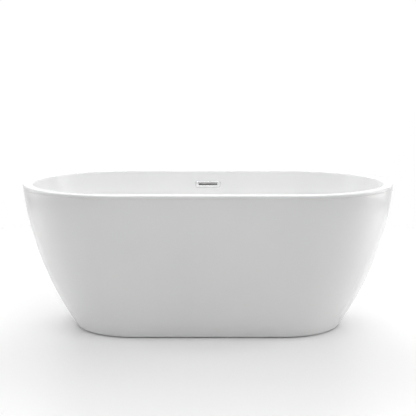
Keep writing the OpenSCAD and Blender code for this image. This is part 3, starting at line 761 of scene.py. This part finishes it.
def make_overflow_pipe():
    """Corrugated pipe from the overflow housing down to the waste tee, with plain cuffs."""
    low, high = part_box("overflow_pipe")
    top = high.z
    bottom = low.z + PIPE_R
    corners = [(0, pipe_y(top), top), (0, pipe_y(top), top - PIPE_LEAD), (0, pipe_y(top - 0.1), top - 0.1),
               (0, pipe_y(FILLET_Z), FILLET_Z), (0, pipe_y(bottom) - 0.013, bottom), (0, low.y, bottom)]
    route = bent_route(corners, PIPE_BEND, 0.0012)
    length = sum((b - a).length for a, b in zip(route, route[1:]))
    cuff, pitch, depth = 0.018, 0.0048, 0.0007

    def radius(run):
        if run < cuff or run > length - cuff:
            return PIPE_R
        return PIPE_R - depth * (1 - math.cos(2 * math.pi * (run - cuff) / pitch))

    bm = bmesh.new()
    add_tube(bm, route, radius, 20, bore=PIPE_R - 0.0022)
    new_piece("corrugated_pipe", bm, "pipe_plastic", replaces=("overflow_pipe",), sharp=60)


def make_overflow_nut():
    """Ribbed nut under the overflow housing."""
    low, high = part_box("overflow_nut")
    centre = (0, (low.y + high.y) / 2)
    radius = (high.x - low.x) / 2

    def ribs(a):
        return radius - 0.0006 * (1 - abs(math.sin(12 * a))) ** 0.5

    profile = softened([(PIPE_R + 0.00005, low.z), (radius - 0.001, low.z), (radius, low.z + 0.001),
                        (radius, high.z - 0.002), (PIPE_R + 0.0022, high.z), (PIPE_R + 0.0016, high.z),
                        (PIPE_R + 0.0016, low.z + 0.004), (PIPE_R + 0.00005, low.z + 0.004)], 0.0004, 2)
    new_piece("overflow_nut_ribbed", lathe(profile, centre, 72, shape=ribs), "white_plastic",
              replaces=("overflow_nut",))


# ---------------------------------------------------------------- waste and stopper

AT_WASTE = (0, WASTE_Y)


def make_strainer():
    """Chrome strainer: dished flange, threaded body and a cross that guides the stopper's stem."""
    top, bottom = STRAINER_HIGH.z, STRAINER_LOW.z
    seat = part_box("strainer_seal")[1].z
    guide_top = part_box("stopper_spring")[0].z
    bore = STRAINER_R - STRAINER_T
    profile = [(bore, bottom), (STRAINER_R - 0.001, bottom), (STRAINER_R, bottom + 0.001)]
    profile += [(STRAINER_R, seat - 0.001), (STRAINER_R, seat), (FLANGE_R - 0.0008, seat)]
    profile += arc_points(FLANGE_R - 0.0009, seat + 0.0009, 0.0009, -90, 20, 4)
    profile += arc_points(FLANGE_R - 0.0042, top - 0.0018, 0.0018, 60, 90, 3)
    profile += [(bore + 0.0042, top), (bore + 0.0022, top - 0.0006), (bore, top - 0.0026)]
    piece = new_piece("strainer_body", lathe(profile, AT_WASTE, 96), "chrome", replaces=("strainer",),
                      sharp=35)
    stem_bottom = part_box("stopper_stem")[0].z
    guide_r, guide_h, web, reach = STEM_R + 0.004, 0.008, 0.0015, bore + 0.001
    for half_x, half_y in ((reach, web), (web, reach)):
        bm = bmesh.new()
        low = Vector((-half_x, WASTE_Y - half_y, guide_top - guide_h))
        high = Vector((half_x, WASTE_Y + half_y, guide_top - 0.003))
        add_block(bm, low, high, 0.0004)
        combine(piece, bm, "UNION", 35)
    combine(piece, cylinder(AT_WASTE, guide_top - guide_h, guide_top, guide_r), "UNION", 35)
    combine(piece, cylinder(AT_WASTE, stem_bottom - 0.01, guide_top + 0.01, STEM_R + 0.00005, 32), sharp=35)


def make_waste_seals():
    """Rubber washers above and below the well's floor, each bulging a little at its edge."""
    for node in ("strainer_seal", "waste_gasket"):
        low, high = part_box(node)
        radius = (high.x - low.x) / 2
        bulge = (high.z - low.z) / 2
        outer = arc_points(radius - bulge, middle(node).z, bulge, -90, 90, 8)
        profile = outer + [(STRAINER_R + 0.0004, high.z), (STRAINER_R + 0.0004, low.z)]
        new_piece(node + "_ring", lathe(profile, AT_WASTE, 72), "seal_rubber", replaces=(node,))


def make_waste_nut():
    """Brass backnut with a castellated skirt."""
    low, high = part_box("waste_nut")
    radius = (high.x - low.x) / 2
    bore = STRAINER_R + 0.00005
    flats = radius - 0.0012

    def lugs(a):
        return flats if math.cos(8 * a) < 0.35 else radius

    profile = softened([(bore, low.z), (flats - 0.0005, low.z), (radius, low.z + 0.0012),
                        (radius, high.z - 0.0012), (flats - 0.0005, high.z), (bore, high.z)], 0.0005, 3)
    new_piece("waste_backnut", lathe(profile, AT_WASTE, 128, shape=lugs), "brass", replaces=("waste_nut",))


def make_tail():
    """Tailpiece with its bead, and the ribbed nut that holds it to the tee."""
    low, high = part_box("tailpiece")
    bead = 0.0012
    tube_r = (high.x - low.x) / 2 - bead
    bore = tube_r - 0.0015
    nut_low, nut_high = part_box("tail_nut")
    bead_z = nut_low.z - 0.003
    profile = [(bore, low.z), (tube_r - 0.0006, low.z), (tube_r, low.z + 0.0008), (tube_r, bead_z - bead)]
    profile += arc_points(tube_r, bead_z, bead, -90, 90, 6)
    profile += [(tube_r, bead_z + bead), (tube_r, high.z), (bore, high.z)]
    new_piece("tail_tube", lathe(profile, AT_WASTE, 72), "white_plastic", replaces=("tailpiece",))
    radius = (nut_high.x - nut_low.x) / 2

    def wings(a):
        return radius - 0.0022 * abs(math.sin(6 * a)) ** 0.7

    hole_r = tube_r + 0.00005
    recess_r, recess_z = hole_r + 0.003, nut_low.z + 0.004
    outline = softened([(hole_r, nut_low.z), (radius - 0.0035, nut_low.z), (radius, nut_low.z + 0.002),
                        (radius, nut_high.z - 0.001), (recess_r, nut_high.z), (recess_r, recess_z),
                        (hole_r, recess_z)], 0.0006, 3)
    new_piece("tail_nut_winged", lathe(outline, AT_WASTE, 144, shape=wings), "white_plastic",
              replaces=("tail_nut",))


def make_stopper_cap():
    """Domed chrome cap with a blind hole for the stem."""
    low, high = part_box("stopper_cap")
    radius = (high.x - low.x) / 2
    dome = radius * 6
    hole_r, hole_top = STEM_R + 0.00002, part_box("stopper_stem")[1].z + 0.00002
    profile = [(0, hole_top), (hole_r, hole_top), (hole_r, low.z), (radius - 0.0012, low.z)]
    profile += arc_points(radius - 0.0009, low.z + 0.0009, 0.0009, -90, 60, 6)
    reach = math.degrees(math.asin((radius - 0.0012) / dome))
    crown = arc_points(0, high.z - dome, dome, 90 - reach, 90, 14)
    crown[-1] = (0, high.z)
    cap = lathe(profile + crown, AT_WASTE, 96, wrap=False)
    new_piece("cap_dome", cap, "chrome", "stopper", ("stopper_cap",), sharp=40)


def make_stopper_seal():
    """Rubber seal under the cap, with a lip at its edge."""
    low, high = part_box("stopper_seal")
    outer = (high.x - low.x) / 2
    inner = outer - 0.0055
    ring = [(inner, high.z), (outer, high.z), (outer, high.z - 0.0008), (outer - 0.0009, high.z - 0.0012)]
    ring += arc_points(outer - 0.0016, low.z + 0.0006, 0.0006, 20, -90, 5)
    ring += [(inner + 0.0006, low.z + 0.0006), (inner, high.z - 0.001)]
    new_piece("seal_lip", lathe(ring, AT_WASTE, 96), "seal_rubber", "stopper", ("stopper_seal",), sharp=45)


def make_stopper_stem():
    """Turned brass stem with two grooves and a collar under the cap."""
    low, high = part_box("stopper_stem")
    collar_r = (high.x - low.x) / 2
    collar_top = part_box("stopper_cap")[0].z
    collar_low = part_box("stopper_spring")[1].z
    turned = [(0, low.z), (STEM_R - 0.0008, low.z), (STEM_R, low.z + 0.0008)]
    for groove in (0.006, 0.010):
        z = low.z + groove
        turned += [(STEM_R, z - 0.0006), (STEM_R - 0.0004, z - 0.0004), (STEM_R - 0.0004, z + 0.0004),
                   (STEM_R, z + 0.0006)]
    turned += [(STEM_R, collar_low), (collar_r - 0.0004, collar_low), (collar_r, collar_low + 0.0004)]
    turned += [(collar_r, collar_top - 0.0004), (collar_r - 0.0004, collar_top), (STEM_R, collar_top)]
    turned += [(STEM_R, high.z - 0.0003), (STEM_R - 0.0003, high.z), (0, high.z)]
    new_piece("stem_turned", lathe(turned, AT_WASTE, 40, wrap=False), "brass", "stopper", ("stopper_stem",),
              sharp=30)


def make_spring():
    """Coil spring with closed ends, squashed between the guide and the collar."""
    low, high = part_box("stopper_spring")
    radius = (high.x - low.x) / 2 - SPRING_WIRE_R
    bottom, top = low.z + SPRING_WIRE_R, high.z - SPRING_WIRE_R
    closed = 0.75
    steps = 24 * (SPRING_TURNS + 1)
    path = []
    for i in range(steps + 1):
        turn = (SPRING_TURNS + 1) * i / steps
        share = min(max((turn - closed) / (SPRING_TURNS + 1 - 2 * closed), 0), 1)
        lift = 2 * SPRING_WIRE_R * min(turn, closed) / closed * 0.9
        drop = 2 * SPRING_WIRE_R * max(turn - SPRING_TURNS - 1 + closed, 0) / closed * 0.9
        rise = lift + drop + share * (top - bottom - 3.6 * SPRING_WIRE_R)
        a = 2 * math.pi * turn
        path.append((radius * math.cos(a), WASTE_Y + radius * math.sin(a), bottom + rise))
    bm = bmesh.new()
    add_tube(bm, path, SPRING_WIRE_R, 8, up=(0, 0, 1))
    coil = new_piece("spring_coil", bm, "spring_steel", replaces=("stopper_spring",), sharp=60)
    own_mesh(coil)


# ---------------------------------------------------------------- frame and feet

def foot_centre(foot):
    """Place of a foot in plan."""
    place = middle(foot + "_pad")
    return (place.x, place.y)


def make_pad(foot):
    """Rubber pad with grip grooves and a socket for the stud's ball."""
    low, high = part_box(foot + "_pad")
    radius, height = (high.x - low.x) / 2, high.z - low.z
    profile = [(0, 0.0006), (radius * 0.4, 0.0006), (radius * 0.42, 0), (radius - 0.0012, 0)]
    profile += arc_points(radius - 0.001, 0.001, 0.001, -60, 0, 3)
    for z in (0.0018, 0.0028):
        profile += [(radius, z - 0.0002), (radius - 0.0006, z), (radius - 0.0006, z + 0.0003),
                    (radius, z + 0.0005)]
    profile += [(radius, 0.0039), (radius - 0.0004, 0.0045), (radius - 0.0022, 0.0061)]
    profile += [(BALL_R + 0.0075, height - 0.0016), (BALL_R + 0.006, height - 0.0004),
                (BALL_R + 0.0052, height)]
    profile += [(BALL_R + 0.0006, height), (BALL_R + 0.00006, height - 0.0008)]
    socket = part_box(foot + "_stud")[0].z - 0.0002
    profile += [(BALL_R + 0.00006, socket), (0, socket)]
    new_piece(foot + "_pad_rubber", lathe(profile, foot_centre(foot), 64, wrap=False), "pad_rubber",
              foot + "_pad", (foot + "_pad",), sharp=35)


def make_stud(foot):
    """Threaded stud with a hexagon collar above the pad."""
    at = foot_centre(foot)
    low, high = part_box(foot + "_stud")
    corner = (high.x - low.x) / 2
    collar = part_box(foot + "_pad")[1].z + 0.0003
    collar_top = collar + COLLAR_H
    bm = bmesh.new()
    add_lathe(bm, [(0, low.z), (BALL_R - 0.001, low.z), (BALL_R, low.z + 0.001), (BALL_R, collar + 0.0002),
                   (0, collar + 0.0002)], at, 32, wrap=False)
    add_lathe(bm, [(0, collar), (corner * 0.93, collar), (corner, collar + 0.0009),
                   (corner, collar_top - 0.0009), (corner * 0.93, collar_top), (0, collar_top)],
              at, 48, wrap=False, shape=hexagon(corner))
    add_thread(bm, at, STUD_R - 0.00003, 0.0009, STUD_PITCH, collar_top - 0.0005, high.z)
    new_piece(foot + "_stud_steel", bm, "zinc", foot + "_stud", (foot + "_stud",), sharp=28)


def make_nuts():
    """Chamfered hexagon nuts: the welded ones under the crossbars and the lock nuts below them."""
    for node, slot in (("weld_nuts", "frame_steel"), ("lock_nuts", "zinc")):
        low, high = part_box(node)
        corner = STUD_R * NUT_SIZE
        bore = STUD_R + 0.00008
        profile = [(bore + 0.0005, low.z), (corner * 0.93, low.z), (corner, low.z + 0.001),
                   (corner, high.z - 0.001), (corner * 0.93, high.z), (bore + 0.0005, high.z),
                   (bore, high.z - 0.0006), (bore, low.z + 0.0006)]
        bm = bmesh.new()
        for foot in FEET:
            add_lathe(bm, profile, foot_centre(foot), 48, shape=hexagon(corner))
        new_piece(node + "_hex", bm, slot, replaces=(node,), sharp=25)


RAILS = ("front_rail", "rear_rail")
# Each crossbar with the feet whose studs pass through it
CROSSBARS = {
    "left_crossbar": ("front_left", "rear_left"),
    "centre_crossbar": ("centre",),
    "right_crossbar": ("front_right", "rear_right"),
}


def make_bar(node, axis):
    """Rail or crossbar of square tube."""
    return new_piece(node + "_tube", square_tube(axis, *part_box(node)), "frame_steel", replaces=(node,))


def make_frame():
    """The two rails, and the crossbars with their stud holes."""
    for rail in RAILS:
        make_bar(rail, 0)
    for node, feet in CROSSBARS.items():
        low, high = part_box(node)
        bar = make_bar(node, 1)
        for foot in feet:
            combine(bar, cylinder(foot_centre(foot), low.z - 0.01, high.z + 0.01, STUD_R + 0.0005, 32))


def make_welds():
    """Weld beads, a little uneven, where each crossbar meets the rails."""
    bm = bmesh.new()
    for bar in CROSSBARS:
        bar_low, bar_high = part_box(bar)
        for rail in RAILS:
            low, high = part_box(rail)
            for y in (low.y - 0.0005, high.y + 0.0005):
                path = []
                for i in range(17):
                    x = bar_low.x + 0.002 + (bar_high.x - bar_low.x - 0.004) * i / 16
                    path.append((x, y + random.uniform(-1, 1) * 0.00015, bar_high.z + 0.0006))
                add_tube(bm, path, lambda run: 0.0014 + 0.0003 * math.sin(run * 3800), 10, up=(0, 0, 1))
    new_piece("frame_welds", bm, "frame_steel", sharp=60)


def make_plugs():
    """Black plugs in the ends of the rails, each with a domed head and a ribbed shank."""
    low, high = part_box("rail_plugs")
    bm = bmesh.new()
    for rail in RAILS:
        rail_low, rail_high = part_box(rail)
        centre = middle(rail)
        size = rail_high.z - rail_low.z
        for side, end, tip in ((1, rail_high.x, high.x), (-1, rail_low.x, low.x)):
            head = [(end, 0.0), (end + (tip - end) * 0.6, 0.0), (end + (tip - end) * 0.9, 0.0012),
                    (tip, 0.0035)]
            shank = []
            for rib in range(4):
                x = end - side * (0.001 + 0.0028 * rib)
                shank += [(x, TUBE_T + 0.0001), (x - side * 0.0014, TUBE_T + 0.0008)]
            rings = []
            for x, inset in shank[::-1] + head:
                outline = rounded_rectangle(size - 2 * inset, size - 2 * inset, 0.0015, 3)
                rings.append([(x, centre.y + u, centre.z + v) for u, v in outline])
            add_rings(bm, rings, caps=True)
    new_piece("end_plugs", bm, "plug_plastic", replaces=("rail_plugs",), sharp=30)


def make_brackets():
    """Bent straps from the crossbars' ends down to the skirt's foot flange, with their screws."""
    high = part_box("skirt_brackets")[1]
    screw_low, screw_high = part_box("bracket_screws")
    outer, foot_z, top = high.y, screw_low.z, screw_low.z + BRACKET_T
    flange, bend, half, edge, head_r = 0.018, 0.003, 0.015, 0.0003, 0.004
    screw_y = 0.5 * (abs(screw_low.y) + screw_high.y) - head_r
    section = [(outer - flange, foot_z), (outer - bend, foot_z)]
    section += arc_points(outer - bend, foot_z + bend, bend, -90, 0, 5)
    section += [(outer, high.z), (outer - BRACKET_T, high.z), (outer - BRACKET_T, foot_z + bend + 0.001),
                (outer - BRACKET_T - 0.001, top), (outer - flange, top)]
    head = [(0, top - 0.001), (0.002, top - 0.001), (0.002, top), (head_r, top), (head_r, top + 0.0008),
            (0.0034, top + 0.0018), (0.002, top + 0.0024), (0.0012, top + 0.0025), (0.0006, top + 0.0012),
            (0, top + 0.0012)]
    strap, screws = bmesh.new(), bmesh.new()
    for bar in CROSSBARS:
        x = middle(bar).x
        for side in (1, -1):
            rings = []
            for along, inset in ((-half, edge), (-half + edge, 0), (half - edge, 0), (half, edge)):
                rings.append([(x + along, side * (y - (inset if y == outer else 0)), z) for y, z in section])
            add_rings(strap, rings, caps=True)
            add_lathe(screws, head, (x, side * screw_y), 28, wrap=False)
    new_piece("bent_brackets", strap, "frame_steel", replaces=("skirt_brackets",), sharp=35)
    new_piece("bracket_screw_heads", screws, "zinc", replaces=("bracket_screws",), sharp=35)


def make_board_screws():
    """Hexagon-headed screws up through the rails into the base board."""
    low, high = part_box("board_screws")
    rail_low, rail_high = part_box("front_rail")
    inset, shift = 0.060, 0.040
    head_r, shank_r = 0.006, 0.003
    head_top = low.z + 0.0035
    washer, washer_r = head_top - 0.001, head_r - 0.0001
    head = [(0, low.z), (head_r * 0.9, low.z), (head_r, low.z + 0.0006), (head_r, washer + 0.0001),
            (0, washer + 0.0001)]
    shank = [(0, washer), (washer_r, washer), (washer_r, head_top), (shank_r, head_top),
             (shank_r, high.z - 0.002), (0, high.z)]
    bm = bmesh.new()
    for x in (rail_low.x + inset, shift, rail_high.x - inset):
        for rail in RAILS:
            at = (x, middle(rail).y)
            add_lathe(bm, head, at, 48, wrap=False, shape=hexagon(head_r))
            add_lathe(bm, shank, at, 32, wrap=False)
    new_piece("hex_screws", bm, "zinc", replaces=("board_screws",), sharp=25)


# ---------------------------------------------------------------- stage, light, camera

def make_stage():
    """Plain pale floor, a little glossy, that glows towards its edge so it runs out into white."""
    material, tree, shader = node_material("floor", (0.92, 0.92, 0.92), 0.3)
    where = coordinates(tree)
    link(tree, span(tree, noise(tree, where, 1.3), 0.26, 0.34), shader.inputs["Roughness"])
    distance = tree.nodes.new("ShaderNodeVectorMath")
    distance.operation = "LENGTH"
    link(tree, where, distance.inputs[0])
    edge = tree.nodes.new("ShaderNodeMapRange")
    edge.interpolation_type = "SMOOTHSTEP"
    edge.inputs["From Min"].default_value = 0.9
    edge.inputs["From Max"].default_value = 1.8
    edge.inputs["To Max"].default_value = FLOOR_GLOW
    link(tree, distance.outputs["Value"], edge.inputs["Value"])
    link(tree, edge.outputs["Result"], shader.inputs["Emission Strength"])
    shader.inputs["Emission Color"].default_value = (1, 1, 1, 1)
    bm = bmesh.new()
    bm.faces.new([bm.verts.new((x, y, 0.0)) for x, y in arc_points(0, 0, 2.4, 0, 360, 96)[:-1]])
    mesh = bpy.data.meshes.new("floor")
    bm.to_mesh(mesh)
    bm.free()
    mesh.materials.append(material)
    floor = bpy.data.objects.new("floor", mesh)
    bpy.context.scene.collection.objects.link(floor)


def soft_box(name, location, target, size, power):
    """Large rectangular lamp that faces a target."""
    light = bpy.data.lights.new(name, "AREA")
    light.shape = "RECTANGLE"
    light.size, light.size_y = size
    light.energy = power
    obj = bpy.data.objects.new(name, light)
    obj.location = location
    obj.rotation_euler = (Vector(target) - Vector(location)).to_track_quat("-Z", "Y").to_euler()
    bpy.context.scene.collection.objects.link(obj)


def world_lobe(tree, way, direction, power, gain):
    """Brightness of the surround that fades away from one direction."""
    dot = tree.nodes.new("ShaderNodeVectorMath")
    dot.operation = "DOT_PRODUCT"
    dot.inputs[1].default_value = direction
    link(tree, way, dot.inputs[0])
    value = dot.outputs["Value"]
    for operation, number in (("MAXIMUM", 0.0), ("POWER", power), ("MULTIPLY", gain)):
        value = arithmetic(tree, operation, value, number)
    return value


def make_world():
    """White surround: bright behind, dimmer above and on the near side, white where it is seen."""
    world = bpy.data.worlds.new("studio")
    bpy.context.scene.world = world
    world.use_nodes = True
    tree = world.node_tree
    where = tree.nodes.new("ShaderNodeTexCoord")
    total = 0.0
    for direction, power, gain in WORLD_LOBES:
        lobe = world_lobe(tree, where.outputs["Generated"], direction, power, gain)
        total = arithmetic(tree, "ADD", lobe, total)
    path = tree.nodes.new("ShaderNodeLightPath")
    seen = arithmetic(tree, "MAXIMUM", total, path.outputs["Is Camera Ray"])
    link(tree, seen, tree.nodes["Background"].inputs["Color"])


def make_camera():
    """Camera square to the front, a little above the rim and tilted down."""
    camera = bpy.data.cameras.new("camera")
    camera.sensor_width = 36.0
    camera.lens = 74.87
    camera.clip_end = 100.0
    obj = bpy.data.objects.new("camera", camera)
    obj.location = (0.0, -3.5, 1.0829)
    obj.rotation_euler = (math.radians(90 - 9.78), 0, 0)
    bpy.context.scene.collection.objects.link(obj)
    bpy.context.scene.camera = obj


FLOOR_GLOW = 0.16
# Direction, tightness and brightness of each bright part of the surround
WORLD_LOBES = (
    ((0, 1, 0), 2, 1.06),
    ((0, 0, 1), 2, 0.17),
    ((0, -0.7, 0.7), 4, 0.72),
    ((-0.8, 0.6, 0), 6, 0.11),
)
# Place, target, size and power of each soft box
LAMPS = {
    "back": ((0, 2.2, 2.2), (0, 0.4, 0.2), (3.0, 1.0), 13),
    "top_back": ((0, 1.4, 2.6), (0, 0.4, 0), (3.0, 1.2), 24.5),
    "top_middle": ((0, 0, 2.6), (0, 0, 0), (3.0, 1.6), 13.5),
    "top_front": ((0, -1.4, 2.6), (0, -0.6, 0), (3.0, 1.2), 27),
    "low_left": ((-2.4, 0.2, 0.45), (-0.6, 0, 0.3), (1.4, 0.7), 6.5),
    "low_right": ((2.4, 0.2, 0.45), (0.6, 0, 0.3), (1.4, 0.7), 10),
    "side_left": ((-2.6, 0.2, 1.5), (0, 0, 0.3), (1.0, 1.6), 7),
    "side_right": ((2.6, 0.2, 1.5), (0, 0, 0.3), (1.0, 1.6), 11),
}

make_camera()
make_stage()
make_world()
for lamp, (location, target, size, power) in LAMPS.items():
    soft_box(lamp, location, target, size, power)
bpy.context.scene.view_settings.view_transform = "Standard"

make_basin()
make_skirt()
make_rim_bond()
make_bezel()
make_overflow_pipe()
make_overflow_nut()
make_strainer()
make_waste_seals()
make_waste_nut()
make_tail()
make_stopper_cap()
make_stopper_seal()
make_stopper_stem()
make_spring()
for name in FEET:
    make_pad(name)
    make_stud(name)
make_nuts()
make_frame()
make_welds()
make_plugs()
make_brackets()
make_board_screws()

# CAD nodes that keep their shape take their slot's material
for part in frame["record"]["subparts"]:
    node = frame["nodes"][part["node"]]
    node.data.materials.clear()
    node.data.materials.append(MAT[part["material_slot"]])
